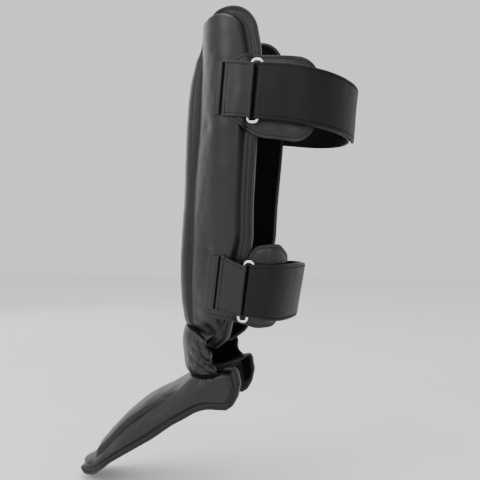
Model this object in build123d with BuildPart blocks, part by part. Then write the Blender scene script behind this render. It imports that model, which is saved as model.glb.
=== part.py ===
from build123d import *
import os

# Padded leather shin and instep guard, in millimetres, +Z up.
# The origin lies on the leg's axis at the middle of the shin. The shin's front and the toes face -Y,
# the strap rings are on the +X side and the straps are sewn on at the -X side.

# Shin shell: stations (height, half width, front depth) of the lining's inner face, an ellipse with legs to the rear
SHIN_STATIONS = [
    (-126, 34, 49), (-88, 43, 50), (-50, 47.5, 48.5), (-10, 51.5, 46),
    (60, 57.5, 42), (120, 61, 37), (190, 61, 35), (250, 61, 35),
]
SHIN_TOP = 247
SHIN_LEG_END = 45
REACH = 110
SHIN_SIDE = [
    (-REACH, SHIN_TOP), (22, SHIN_TOP), (30, 200), (25, 110), (19.5, 40), (18, -3), (-6, -87), (-30, -121),
    (-46, -110), (-REACH, -110),
]
SHIN_CORNER_RADII = [30, 60, 300, 300, 80, 60, 5, 20]

# Layers of the shin shell, as distances out from the lining's inner face
LINING = (0, 1.5)
BACKING = (1.8, 6.4)
BINDING = (-0.6, 7.0)
PAD_FOAM = (7.3, 14.4)
PAD_COVER = (7.0, 16.0)
BINDING_WIDTH = 3.0
GAP = 0.3
FLANGE_WIDTH = 12.0
SKIN = 1.3

# Centre ridge bar: stations (height, distance of its crest in front of the leg's axis)
RIDGE_STATIONS = [
    (226, 55), (200, 62.5), (147, 70), (53, 77.5), (-12, 82), (-60, 82), (-81, 79.5), (-97.5, 76),
]
RIDGE_ROOT = -35
RIDGE_HALF_WIDTH = 32
COVER_TUCK = 22
RIDGE_CUT = -20

# Ankle block: half ellipses round the front of the ankle
ANKLE_CENTRE = -30
ANKLE_INNER = (51.5, 36)
ANKLE_OUTER = (60, 50)
ANKLE_SIDE = [(-110, -101), (-79, -101), (-38, -112), (-30, -122), (-28, -148), (-34, -156), (-110, -156)]
ANKLE_CORNER = 3
ANKLE_WEB = (2.0, 0.5)
ANKLE_WEB_REAR = -44

# Instep shell: stations (distance forward, crest height, half width) of the cover's outer face
INSTEP_STATIONS = [
    (-10, -83, 50), (18, -108, 50), (46, -134, 50), (75, -160, 50), (105, -175, 49), (136, -198, 47), (162, -220, 44),
    (184, -244, 41), (211, -269, 38), (228, -284, 35),
]
INSTEP_RISE = 38
INSTEP_LEG_END = -345
INSTEP_LINING = (-10.5, -9.3)
INSTEP_FOAM = (-9.0, -1.6)
INSTEP_COVER = (-1.3, 0)
INSTEP_BINDING = (-11.0, -5.0)
INSTEP_SIDE = [
    (-81, -161), (-250, -161), (-250, -282), (-222, -283), (-212, -290), (-197, -289), (-161, -265), (-95, -222),
    (-55, -194), (-39, -189.5), (-18, -189), (-6, -179), (0, -152.5), (-4, -142.5), (-13, -140.5), (-21, -147),
    (-28, -161), (-51, -170),
]
INSTEP_CORNER = 3
INSTEP_RIDGE_HEIGHT = 4.5
INSTEP_RIDGE_HALF_WIDTH = 28
INSTEP_RIDGE_ROOT = 22
INSTEP_RIDGE_CUT = -34
INSTEP_RIDGE_ENDS = (86, 199)
SOLE_STRAP_Y = (-60, -28)
SOLE_STRAP_HALF = 38.5
SOLE_STRAP_Z = -189.5
SOLE_STRAP_THICKNESS = 1.8

# Straps. Places along the leg's side are distances behind the leg's axis, at the strap's middle height.
STRAP_WIDTH = 58
STRAP_THICKNESS = 2.4
TAB_THICKNESS = 2.0
TAB_RETURN = 3.5
WIRE = 1.6
RING_SIDE = 3.2
RING_CORNER = 4
FOLD_LEGS = (5.5, 2.0)
FOLD_CLEARANCE = 1.5
TAIL_LIFT = 4.7
TAIL_ANGLE = 110
LOOP_ANGLES = (38, 104)
HOOK_ANGLES = (52, 107)
PATCH_THICKNESS = 0.8
PATCH_GAP = 0.2
ROOT_PATCH = 34
ROOT_MARGIN = 3
TONGUE_THICKNESS = 3.5
TONGUE_GAP = 0.4
HINGE_GAP = 0.5
UPPER = {
    "name": "upper", "height": 155.4, "slope": (-0.03, 0.13, 1), "lean": 5.2, "spread": 1.0,
    "ring_x": 76.8, "front_bar": 20.6, "rear_bar": 31.4, "tab_start": -18, "far_x": -80.2, "far_end": -12,
    "back_y": 50, "back_depth": 66.5, "tongue_width": 88, "tongue_root": 17.5, "tongue_edge": 30.5, "tongue_angle": 30,
}
LOWER = {
    "name": "lower", "height": -55, "slope": (0, 0, 1), "lean": 9.4, "spread": 1.12,
    "ring_x": 62.4, "front_bar": 7.2, "rear_bar": 16.8, "tab_start": -30, "far_x": -65.3, "far_end": -20,
    "back_y": 27, "back_depth": 25, "tongue_width": 82, "tongue_root": 1, "tongue_edge": 12, "tongue_angle": 52,
}

os.makedirs("parts", exist_ok=True)


def write(builder, label):
    """Labels a finished piece and writes it under its own name."""
    builder.part.label = label
    export_step(builder.part, f"parts/{label}.step")


def shin_layer(inner, outer):
    """Lofts the shell between two distances out from the lining's inner face."""
    with BuildPart() as layer:
        for height, half_width, depth in SHIN_STATIONS:
            with BuildSketch(Plane.XY.offset(height)):
                with BuildLine():
                    ends = []
                    for distance in (inner, outer):
                        wide = half_width + distance
                        EllipticalCenterArc((0, 0), wide, depth + distance, start_angle=180, arc_size=180)
                        Line((-wide, 0), (-wide, SHIN_LEG_END))
                        Line((wide, 0), (wide, SHIN_LEG_END))
                        ends.append(wide)
                    Line((-ends[0], SHIN_LEG_END), (-ends[1], SHIN_LEG_END))
                    Line((ends[0], SHIN_LEG_END), (ends[1], SHIN_LEG_END))
                make_face()
        loft()
    return layer.part


def shin_outline(inset):
    """The shell's outline from the side, as a block across the leg, drawn in by the inset."""
    with BuildPart() as block:
        with BuildSketch(Plane.YZ):
            with BuildLine():
                FilletPolyline(SHIN_SIDE, radius=SHIN_CORNER_RADII)
                Line(SHIN_SIDE[-1], SHIN_SIDE[0])
            make_face()
            if inset:
                offset(amount=-inset, kind=Kind.INTERSECTION)
        extrude(amount=REACH, both=True)
    return block.part


def ridge_bar(shrink):
    """The centre bar, rounded across and lower towards its ends."""
    with BuildPart() as bar:
        for height, crest in RIDGE_STATIONS:
            with BuildSketch(Plane.XY.offset(height)):
                with BuildLine():
                    arc = EllipticalCenterArc(
                        (0, RIDGE_ROOT), RIDGE_HALF_WIDTH - shrink, crest - shrink + RIDGE_ROOT,
                        start_angle=180, arc_size=180,
                    )
                    Line(arc @ 1, arc @ 0)
                make_face()
        loft()
    return bar.part


# Shin shell
rim = shin_outline(0)
within_binding = shin_outline(BINDING_WIDTH)
within_lining = shin_outline(BINDING_WIDTH + GAP)
within_flange = shin_outline(FLANGE_WIDTH)
within_cover = shin_outline(FLANGE_WIDTH + SKIN)
within_foam = shin_outline(FLANGE_WIDTH + SKIN + GAP)

with BuildPart() as shin_lining:
    add(shin_layer(*LINING))
    add(within_lining, mode=Mode.INTERSECT)
write(shin_lining, "shin_lining")

with BuildPart() as shin_backing_foam:
    add(shin_layer(*BACKING))
    add(within_lining, mode=Mode.INTERSECT)
write(shin_backing_foam, "shin_backing_foam")

with BuildPart() as shin_edge_binding:
    add(shin_layer(*BINDING))
    add(rim, mode=Mode.INTERSECT)
    add(within_binding, mode=Mode.SUBTRACT)
write(shin_edge_binding, "shin_edge_binding")

with BuildPart() as shin_pad_foam:
    add(shin_layer(*PAD_FOAM))
    add(within_foam, mode=Mode.INTERSECT)
write(shin_pad_foam, "shin_pad_foam")

with BuildPart() as foam_pocket:
    add(shin_layer(PAD_COVER[0] - SKIN, PAD_COVER[1] - SKIN))
    add(within_cover, mode=Mode.INTERSECT)

for side, name in ((1, "shin_cover_right"), (-1, "shin_cover_left")):
    with BuildPart() as shin_cover:
        add(shin_layer(*PAD_COVER))
        add(within_flange, mode=Mode.INTERSECT)
        add(foam_pocket.part, mode=Mode.SUBTRACT)
        split(bisect_by=Plane.YZ.offset(side * COVER_TUCK), keep=Keep.TOP if side > 0 else Keep.BOTTOM)
    write(shin_cover, name)

with BuildPart() as pad_body:
    add(shin_layer(RIDGE_CUT, PAD_COVER[1] + GAP))

with BuildPart() as shin_ridge_foam:
    add(ridge_bar(SKIN + GAP))
    add(pad_body.part, mode=Mode.SUBTRACT)
write(shin_ridge_foam, "shin_ridge_foam")

with BuildPart() as shin_ridge_cover:
    add(ridge_bar(0))
    add(ridge_bar(SKIN), mode=Mode.SUBTRACT)
    add(pad_body.part, mode=Mode.SUBTRACT)
write(shin_ridge_cover, "shin_ridge_cover")

# Ankle block


def ankle_band(inner, outer, inset=0):
    """A band round the front of the ankle between two half ellipses with legs, cut to the block's side outline."""
    with BuildPart() as band:
        with BuildSketch(Plane.XY.offset(ANKLE_SIDE[-1][1])):
            with BuildLine():
                for wide, deep in (inner, outer):
                    EllipticalCenterArc((0, ANKLE_CENTRE), wide, deep, start_angle=180, arc_size=180)
                    Line((-wide, ANKLE_CENTRE), (-wide, 0))
                    Line((wide, ANKLE_CENTRE), (wide, 0))
                Line((-inner[0], 0), (-outer[0], 0))
                Line((inner[0], 0), (outer[0], 0))
            make_face()
        extrude(amount=ANKLE_SIDE[0][1] - ANKLE_SIDE[-1][1])
        with BuildSketch(Plane.YZ):
            with BuildLine():
                FilletPolyline(ANKLE_SIDE, radius=ANKLE_CORNER, close=True)
            make_face()
            if inset:
                offset(amount=-inset, kind=Kind.INTERSECTION)
        extrude(amount=REACH, both=True, mode=Mode.INTERSECT)
    return band.part


def grown(size, amount):
    """Both radii of an ellipse, larger by one amount."""
    return size[0] + amount, size[1] + amount


def ankle_solid(shrink):
    """The ankle block, drawn in on every side by one amount."""
    return ankle_band(grown(ANKLE_INNER, shrink), grown(ANKLE_OUTER, -shrink), shrink)


with BuildPart() as ankle_block_foam:
    add(ankle_solid(SKIN + GAP))
write(ankle_block_foam, "ankle_block_foam")

with BuildPart() as ankle_block_cover:
    add(ankle_solid(0))
    add(ankle_solid(SKIN), mode=Mode.SUBTRACT)
write(ankle_block_cover, "ankle_block_cover")

with BuildPart() as ankle_web:
    add(ankle_band(grown(ANKLE_INNER, -ANKLE_WEB[0]), grown(ANKLE_INNER, -ANKLE_WEB[1])))
    split(bisect_by=Plane.XZ.offset(-ANKLE_WEB_REAR), keep=Keep.TOP)
write(ankle_web, "ankle_web")


# Instep shell


def instep_layer(inner, outer):
    """Lofts the instep's arch from the heel side to the toes between two distances out from its outer face."""
    with BuildPart() as layer:
        for forward, crest, half_width in INSTEP_STATIONS:
            with BuildSketch(Plane.XZ.offset(forward)):
                with BuildLine():
                    ends = []
                    centre = crest - INSTEP_RISE
                    for distance in (inner, outer):
                        wide = half_width + distance
                        EllipticalCenterArc((0, centre), wide, INSTEP_RISE + distance, start_angle=0, arc_size=180)
                        Line((-wide, centre), (-wide, INSTEP_LEG_END))
                        Line((wide, centre), (wide, INSTEP_LEG_END))
                        ends.append(wide)
                    Line((-ends[0], INSTEP_LEG_END), (-ends[1], INSTEP_LEG_END))
                    Line((ends[0], INSTEP_LEG_END), (ends[1], INSTEP_LEG_END))
                make_face()
        loft()
    return layer.part


def instep_outline(inset):
    """The instep's outline from the side, as a block across the foot, drawn in by the inset."""
    with BuildPart() as block:
        with BuildSketch(Plane.YZ):
            with BuildLine():
                FilletPolyline(INSTEP_SIDE, radius=INSTEP_CORNER, close=True)
            make_face()
            if inset:
                offset(amount=-inset, kind=Kind.INTERSECTION)
        extrude(amount=REACH, both=True)
    return block.part


def instep_ridge(shrink):
    """The raised centre strip of the instep, rounded across, that follows the crest to the toes."""
    with BuildPart() as strip:
        for forward, crest, _ in INSTEP_STATIONS:
            with BuildSketch(Plane.XZ.offset(forward)):
                with BuildLine():
                    arc = EllipticalCenterArc(
                        (0, crest - INSTEP_RIDGE_ROOT), INSTEP_RIDGE_HALF_WIDTH - shrink,
                        INSTEP_RIDGE_ROOT + INSTEP_RIDGE_HEIGHT - shrink, start_angle=0, arc_size=180,
                    )
                    Line(arc @ 1, arc @ 0)
                make_face()
        loft()
        add(instep_layer(INSTEP_RIDGE_CUT, GAP), mode=Mode.SUBTRACT)
        split(bisect_by=Plane.XZ.offset(INSTEP_RIDGE_ENDS[0] + shrink), keep=Keep.TOP)
        split(bisect_by=Plane.XZ.offset(INSTEP_RIDGE_ENDS[1] - shrink), keep=Keep.BOTTOM)
    return strip.part


within_sole_edge = instep_outline(BINDING_WIDTH + GAP)

for name, layer in (
    ("instep_lining", INSTEP_LINING), ("instep_foam", INSTEP_FOAM), ("instep_cover", INSTEP_COVER),
):
    with BuildPart() as instep_piece:
        add(instep_layer(*layer))
        add(within_sole_edge, mode=Mode.INTERSECT)
    write(instep_piece, name)

with BuildPart() as instep_edge_binding:
    add(instep_layer(*INSTEP_BINDING))
    add(instep_outline(0), mode=Mode.INTERSECT)
    add(instep_outline(BINDING_WIDTH), mode=Mode.SUBTRACT)
write(instep_edge_binding, "instep_edge_binding")

with BuildPart() as instep_ridge_foam:
    add(instep_ridge(SKIN + GAP))
write(instep_ridge_foam, "instep_ridge_foam")

with BuildPart() as instep_ridge_cover:
    add(instep_ridge(0))
    add(instep_ridge(SKIN), mode=Mode.SUBTRACT)
write(instep_ridge_cover, "instep_ridge_cover")

with BuildPart() as sole_strap:
    with BuildSketch(Plane.XY.offset(SOLE_STRAP_Z)):
        with Locations((0, sum(SOLE_STRAP_Y) / 2)):
            Rectangle(2 * SOLE_STRAP_HALF, SOLE_STRAP_Y[1] - SOLE_STRAP_Y[0])
    extrude(amount=SOLE_STRAP_THICKNESS)
write(sole_strap, "sole_strap")


# Straps: each piece is a plan profile lofted between the strap's lower and upper edges


def strap_planes(strap, width):
    """The planes of a strap's lower and upper edges, which slope with the strap and lean to the rear."""
    slope = Vector(*strap["slope"])
    step = Vector(0, strap["lean"], STRAP_WIDTH) * (width / STRAP_WIDTH / 2)
    middle = Vector(0, 0, strap["height"])
    across = Vector(slope.Z, 0, -slope.X)
    return [Plane(origin=middle + step * end, x_dir=across, z_dir=slope) for end in (-1, 1)]


def strap_solid(strap, profile, width=STRAP_WIDTH):
    """Lofts a plan profile between a strap's two edges, wider across the leg at the upper edge."""
    half_spread = (strap["spread"] - 1) / 2 * width / STRAP_WIDTH
    with BuildPart() as solid:
        for plane, spread in zip(strap_planes(strap, width), (1 - half_spread, 1 + half_spread)):
            with BuildSketch(plane):
                profile(strap, spread)
        loft(ruled=True)
    return solid.part


def leg(x, y_from, y_to, thickness):
    """A straight run of a band along the leg's side."""
    with Locations((x, (y_from + y_to) / 2)):
        Rectangle(thickness, y_to - y_from)


def bend(centre, wide, deep, thickness, angles):
    """A run of a band round the calf, along an ellipse from one angle to another."""
    with BuildLine() as outline:
        inner, outer = (
            EllipticalCenterArc(
                centre, wide + side, deep + side, start_angle=angles[0], arc_size=angles[1] - angles[0]
            )
            for side in (-thickness / 2, thickness / 2)
        )
        Line(inner @ 0, outer @ 0)
        Line(inner @ 1, outer @ 1)
    make_face(outline.line)


def wrap(x, bar, thickness, legs, rearward):
    """A band that turns round a bar of the ring, with legs outside and inside of it."""
    offset_out = WIRE + GAP + thickness / 2
    way = 1 if rearward else -1
    bend((x, bar), offset_out, offset_out, thickness, (180, 360) if rearward else (0, 180))
    for side, length in zip((-1, 1), legs):
        ends = sorted((bar, bar + way * length))
        leg(x + side * offset_out, *ends, thickness)


def band_ellipse(strap, spread):
    """The middle and half width of the band's bend round the calf."""
    near = strap["ring_x"] * spread - WIRE - GAP - STRAP_THICKNESS / 2
    far = strap["far_x"] * spread
    return ((near + far) / 2, strap["back_y"]), (near - far) / 2


def tab_profile(strap, spread):
    """The anchor tab, sewn to the pad's side and wrapped round the ring's front bar."""
    x, bar = strap["ring_x"] * spread, strap["front_bar"]
    wrap(x, bar, TAB_THICKNESS, (TAB_RETURN, bar - strap["tab_start"]), rearward=False)


def fold_profile(strap, spread):
    """The strap where it turns round the ring's rear bar."""
    wrap(strap["ring_x"] * spread, strap["rear_bar"], STRAP_THICKNESS, FOLD_LEGS, rearward=True)


def band_profile(strap, spread):
    """The strap band from its sewn root on the far side, round the calf, to the ring."""
    centre, wide = band_ellipse(strap, spread)
    leg(centre[0] + wide, strap["rear_bar"] + FOLD_LEGS[0] + FOLD_CLEARANCE, strap["back_y"], STRAP_THICKNESS)
    bend(centre, wide, strap["back_depth"], STRAP_THICKNESS, (0, 180))
    leg(centre[0] - wide, strap["far_end"], strap["back_y"], STRAP_THICKNESS)


def tail_profile(strap, spread):
    """The tail, which lies back over the band from the ring."""
    centre, wide = band_ellipse(strap, spread)
    wide += 2 * (WIRE + GAP) + STRAP_THICKNESS
    leg(centre[0] + wide, strap["rear_bar"] + FOLD_LEGS[1] + HINGE_GAP, strap["back_y"], STRAP_THICKNESS)
    bend(centre, wide, strap["back_depth"] + TAIL_LIFT, STRAP_THICKNESS, (0, TAIL_ANGLE))


def loop_profile(strap, spread):
    """The loop patch on the band's outer face."""
    centre, wide = band_ellipse(strap, spread)
    out = (STRAP_THICKNESS + PATCH_THICKNESS) / 2 + PATCH_GAP
    bend(centre, wide + out, strap["back_depth"] + out, PATCH_THICKNESS, LOOP_ANGLES)


def hook_profile(strap, spread):
    """The hook patch on the tail's inner face."""
    centre, wide = band_ellipse(strap, spread)
    wide += 2 * (WIRE + GAP) + STRAP_THICKNESS
    back = (STRAP_THICKNESS + PATCH_THICKNESS) / 2 + PATCH_GAP
    bend(centre, wide - back, strap["back_depth"] + TAIL_LIFT - back, PATCH_THICKNESS, HOOK_ANGLES)


def root_patch_profile(strap, spread):
    """The leather patch sewn over the band's root on the far side."""
    centre, wide = band_ellipse(strap, spread)
    out = STRAP_THICKNESS / 2 + PATCH_GAP + PATCH_THICKNESS / 2
    leg(centre[0] - wide - out, strap["far_end"], strap["far_end"] + ROOT_PATCH, PATCH_THICKNESS)


def tongue_x(strap, spread):
    """The middle of the tongue's thickness on the near side, just inside the band."""
    centre, wide = band_ellipse(strap, spread)
    return centre[0] + wide - (STRAP_THICKNESS + TONGUE_THICKNESS) / 2 - TONGUE_GAP


def tongue_base_profile(strap, spread):
    """The tongue's base, sewn down on the shell's rear edge."""
    leg(tongue_x(strap, spread), strap["tongue_root"], strap["tongue_edge"], TONGUE_THICKNESS)


def tongue_profile(strap, spread):
    """The padded tongue behind the ring, which follows the band's inner face."""
    centre, wide = band_ellipse(strap, spread)
    inside = (STRAP_THICKNESS + TONGUE_THICKNESS) / 2 + TONGUE_GAP
    leg(tongue_x(strap, spread), strap["tongue_edge"] + HINGE_GAP, strap["back_y"], TONGUE_THICKNESS)
    bend(centre, wide - inside, strap["back_depth"] - inside, TONGUE_THICKNESS, (0, strap["tongue_angle"]))


def ring_path(strap):
    """The four corners of the ring's wire."""
    width = STRAP_WIDTH + 2 * RING_SIDE
    low, high = strap_planes(strap, width)
    half_spread = (strap["spread"] - 1) / 2 * width / STRAP_WIDTH
    corners = []
    for plane, spread, bars in (
        (low, 1 - half_spread, ("front_bar", "rear_bar")), (high, 1 + half_spread, ("rear_bar", "front_bar")),
    ):
        corners += [plane.from_local_coords((strap["ring_x"] * spread, strap[bar], 0)) for bar in bars]
    return corners


STRAP_PIECES = {
    "tab": (tab_profile, STRAP_WIDTH), "strap_fold": (fold_profile, STRAP_WIDTH),
    "strap_band": (band_profile, STRAP_WIDTH), "strap_tail": (tail_profile, STRAP_WIDTH),
    "loop_patch": (loop_profile, STRAP_WIDTH - 2 * ROOT_MARGIN),
    "hook_patch": (hook_profile, STRAP_WIDTH - 2 * ROOT_MARGIN),
    "root_patch": (root_patch_profile, STRAP_WIDTH + 2 * ROOT_MARGIN),
}

for strap in (UPPER, LOWER):
    for piece, (profile, width) in STRAP_PIECES.items():
        with BuildPart() as strap_piece:
            add(strap_solid(strap, profile, width))
        write(strap_piece, f"{strap['name']}_{piece}")

    with BuildPart() as tongue_base:
        add(strap_solid(strap, tongue_base_profile, strap["tongue_width"]))
    write(tongue_base, f"{strap['name']}_tongue_base")

    with BuildPart() as tongue:
        add(strap_solid(strap, tongue_profile, strap["tongue_width"]))
    write(tongue, f"{strap['name']}_tongue")

    with BuildPart() as ring:
        with BuildLine() as wire:
            FilletPolyline(ring_path(strap), radius=RING_CORNER, close=True)
        with BuildSketch(Plane(origin=wire.line @ 0, z_dir=wire.line % 0)):
            Circle(WIRE)
        sweep(path=wire.line)
    write(ring, f"{strap['name']}_ring")
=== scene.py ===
from math import cos, pi, radians, sin
import bpy
import numpy as np
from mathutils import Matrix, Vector


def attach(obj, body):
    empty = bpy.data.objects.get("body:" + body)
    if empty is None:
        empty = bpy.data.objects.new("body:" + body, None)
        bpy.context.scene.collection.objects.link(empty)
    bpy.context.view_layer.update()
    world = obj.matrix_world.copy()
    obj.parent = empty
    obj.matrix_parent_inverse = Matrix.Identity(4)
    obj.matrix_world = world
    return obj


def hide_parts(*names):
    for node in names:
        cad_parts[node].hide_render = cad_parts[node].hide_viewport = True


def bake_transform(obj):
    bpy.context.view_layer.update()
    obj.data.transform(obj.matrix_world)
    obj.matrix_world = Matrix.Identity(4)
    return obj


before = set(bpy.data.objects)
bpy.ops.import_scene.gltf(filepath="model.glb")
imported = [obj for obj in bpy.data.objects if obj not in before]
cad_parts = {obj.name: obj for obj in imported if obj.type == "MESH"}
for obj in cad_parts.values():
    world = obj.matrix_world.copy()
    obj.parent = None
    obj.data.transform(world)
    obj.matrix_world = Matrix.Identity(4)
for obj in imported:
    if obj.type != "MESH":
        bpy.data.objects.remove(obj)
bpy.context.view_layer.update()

# Shapes are worked out in millimetres in the part's own frame, and meshes are made in metres.
MM = 0.001
WAVES = 9


# ---------------------------------------------------------------- small tools


def smooth(x, low, high):
    """0 below low, 1 above high, and a smooth step between."""
    t = np.clip((np.asarray(x, float) - low) / (high - low), 0, 1)
    return t * t * (3 - 2 * t)


def bell(x, middle, width):
    return np.exp(-(((np.asarray(x, float) - middle) / width) ** 2))


def curve(x, points):
    """A smooth curve through (x, y) points, flat beyond them."""
    xs, ys = (np.array(c, float) for c in zip(*points))
    slopes = np.gradient(ys, xs)
    x = np.clip(np.asarray(x, float), xs[0], xs[-1])
    i = np.clip(np.searchsorted(xs, x) - 1, 0, len(xs) - 2)
    h = xs[i + 1] - xs[i]
    t = (x - xs[i]) / h
    return (
        (2 * t**3 - 3 * t**2 + 1) * ys[i]
        + (t**3 - 2 * t**2 + t) * h * slopes[i]
        + (3 * t**2 - 2 * t**3) * ys[i + 1]
        + (t**3 - t**2) * h * slopes[i + 1]
    )


def ripple(x, y, seed, low, high):
    """A smooth random relief, mostly between -1.5 and 1.5, from seeded waves of low to high turns a unit."""
    draw = np.random.default_rng(seed)
    total = 0.0
    for _ in range(WAVES):
        turn, size, phase = draw.uniform(0, 2 * pi), draw.uniform(low, high), draw.uniform(0, 2 * pi)
        total = total + np.sin(2 * pi * size * (x * cos(turn) + y * sin(turn)) + phase)
    return total / np.sqrt(WAVES)


def unit(v):
    v = np.asarray(v, float)
    return v / np.maximum(np.linalg.norm(v, axis=-1, keepdims=True), 1e-9)


def polyline_distance(px, py, line):
    """The distance of each point to a polyline in the plane."""
    best = np.full(np.shape(px), 1e9)
    for (ax, ay), (bx, by) in zip(line[:-1], line[1:]):
        dx, dy = bx - ax, by - ay
        t = np.clip(((px - ax) * dx + (py - ay) * dy) / max(dx * dx + dy * dy, 1e-9), 0, 1)
        best = np.minimum(best, np.hypot(px - ax - t * dx, py - ay - t * dy))
    return best


def distance_along(line):
    """How far each point of a line is from its start, along the line."""
    return np.concatenate([[0], np.cumsum(np.linalg.norm(np.diff(line, axis=0), axis=1))])


def on_line(line, along, want):
    """What a line's columns are at the wanted distances along it."""
    return np.stack([np.interp(want, along, column) for column in line.T], -1)


def resample(line, count):
    """The same line with points evenly spaced along it."""
    line = np.asarray(line, float)
    along = distance_along(line)
    return on_line(line, along, np.linspace(0, along[-1], count))


def apart(line, least):
    """Which points of a line are more than a least distance from the point before."""
    return np.concatenate([[True], np.linalg.norm(np.diff(line, axis=0), axis=1) > least])


def turned_right(ahead):
    """Directions in the plane, turned a quarter to the right."""
    return np.stack([ahead[:, 1], -ahead[:, 0]], 1)


def length_of(line):
    return float(np.linalg.norm(np.diff(np.asarray(line, float), axis=0), axis=1).sum())


# A stitch: (share of its length from its middle, share of its full thickness) for each of its rings of points
GRAIN = ((-0.5, 0.25), (-0.36, 0.85), (0, 1.0), (0.36, 0.85), (0.5, 0.25))
GRAIN_SIDES = 6


class Piece:
    """Collects the closed surfaces of one piece, in millimetres, and makes them one mesh."""

    def __init__(self, name):
        self.name, self.points, self.faces, self.slots, self.materials, self.count = name, [], [], [], [], 0

    def add(self, points, faces, material):
        points = np.asarray(points, float).reshape(-1, 3)
        tri = [(f[0], f[k], f[k + 1]) for f in faces for k in range(1, len(f) - 1)]
        a, b, c = (points[[t[k] for t in tri]] for k in range(3))
        centre = points.mean(0)
        volume = np.einsum("ij,ij->i", a - centre, np.cross(b - centre, c - centre)).sum()
        if material not in self.materials:
            self.materials.append(material)
        step = self.count
        ordered = faces if volume >= 0 else [tuple(reversed(f)) for f in faces]
        self.faces += [tuple(int(i) + step for i in f) for f in ordered]
        self.slots += [self.materials.index(material)] * len(faces)
        self.points.append(points)
        self.count += len(points)

    def slab(self, outer, inner, material, inner_material=None):
        """Two matching grids of points joined round their edges."""
        rows, cols = outer.shape[:2]
        face = grid_faces(rows, cols)
        back = [tuple(i + rows * cols for i in reversed(f)) for f in face]
        rim = (
            [i for i in range(cols)]
            + [r * cols + cols - 1 for r in range(1, rows)]
            + [(rows - 1) * cols + c for c in range(cols - 2, -1, -1)]
            + [r * cols for r in range(rows - 2, 0, -1)]
        )
        side = [(b, a, a + rows * cols, b + rows * cols) for a, b in zip(rim, rim[1:] + rim[:1])]
        self.add(np.concatenate([outer.reshape(-1, 3), inner.reshape(-1, 3)]), face + back + side, material)
        if inner_material:
            if inner_material not in self.materials:
                self.materials.append(inner_material)
            first = len(self.slots) - len(side) - len(back)
            self.slots[first:first + len(back)] = [self.materials.index(inner_material)] * len(back)

    def sweep(self, sections, material, closed=False):
        """Rings of points joined along a line, with closed ends."""
        n, k = sections.shape[:2]
        faces = []
        for r in range(n if closed else n - 1):
            s = (r + 1) % n
            faces += [(r * k + c, r * k + (c + 1) % k, s * k + (c + 1) % k, s * k + c) for c in range(k)]
        points = sections.reshape(-1, 3)
        if not closed:
            faces += [tuple(range(k - 1, -1, -1)), tuple((n - 1) * k + c for c in range(k))]
        self.add(points, faces, material)

    def stitches(self, line, out, material, pitch=3.6, length=2.5, wide=0.42, high=0.34, sink=0.05):
        """A row of sewn stitches along a line, each a small raised grain of thread."""
        line, out = np.asarray(line, float), unit(out)
        total = length_of(line)
        count = max(int(total / pitch), 1)
        along = distance_along(line)
        want = (np.arange(count) + 0.5) * total / count
        at = on_line(line, along, want)
        ahead = unit(on_line(line, along, want + 0.4) - on_line(line, along, want - 0.4))
        up = unit(on_line(out, along, want))
        side = unit(np.cross(ahead, up))
        rings = []
        for reach, swell in GRAIN:
            lift = (high * swell * 0.4 - sink - (0.3 if abs(reach) == 0.5 else 0)) * up
            for turn in range(GRAIN_SIDES):
                a = 2 * pi * turn / GRAIN_SIDES
                rings.append(at + ahead * length * reach + lift
                             + side * wide * swell * cos(a) + up * high * swell * sin(a))
        points = np.stack(rings, 1).reshape(count, len(GRAIN), GRAIN_SIDES, 3)
        for grain in points:
            self.sweep(grain, material)

    def make(self, sharp=40):
        mesh = bpy.data.meshes.new(self.name)
        mesh.from_pydata((np.concatenate(self.points) * MM).tolist(), [], self.faces)
        for material in self.materials:
            mesh.materials.append(material)
        mesh.polygons.foreach_set("material_index", self.slots)
        mesh.update()
        mesh.shade_smooth()
        mesh.set_sharp_from_angle(angle=radians(sharp))
        obj = bpy.data.objects.new(self.name, mesh)
        bpy.context.scene.collection.objects.link(obj)
        return obj


def grid_faces(rows, cols):
    return [
        (r * cols + c, r * cols + c + 1, (r + 1) * cols + c + 1, (r + 1) * cols + c)
        for r in range(rows - 1)
        for c in range(cols - 1)
    ]


# ------------------------------------------------------------------ materials


def node(tree, kind, **values):
    made = tree.nodes.new(kind)
    for key, value in values.items():
        if key in made.inputs:
            made.inputs[key].default_value = value
        else:
            setattr(made, key, value)
    return made


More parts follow.
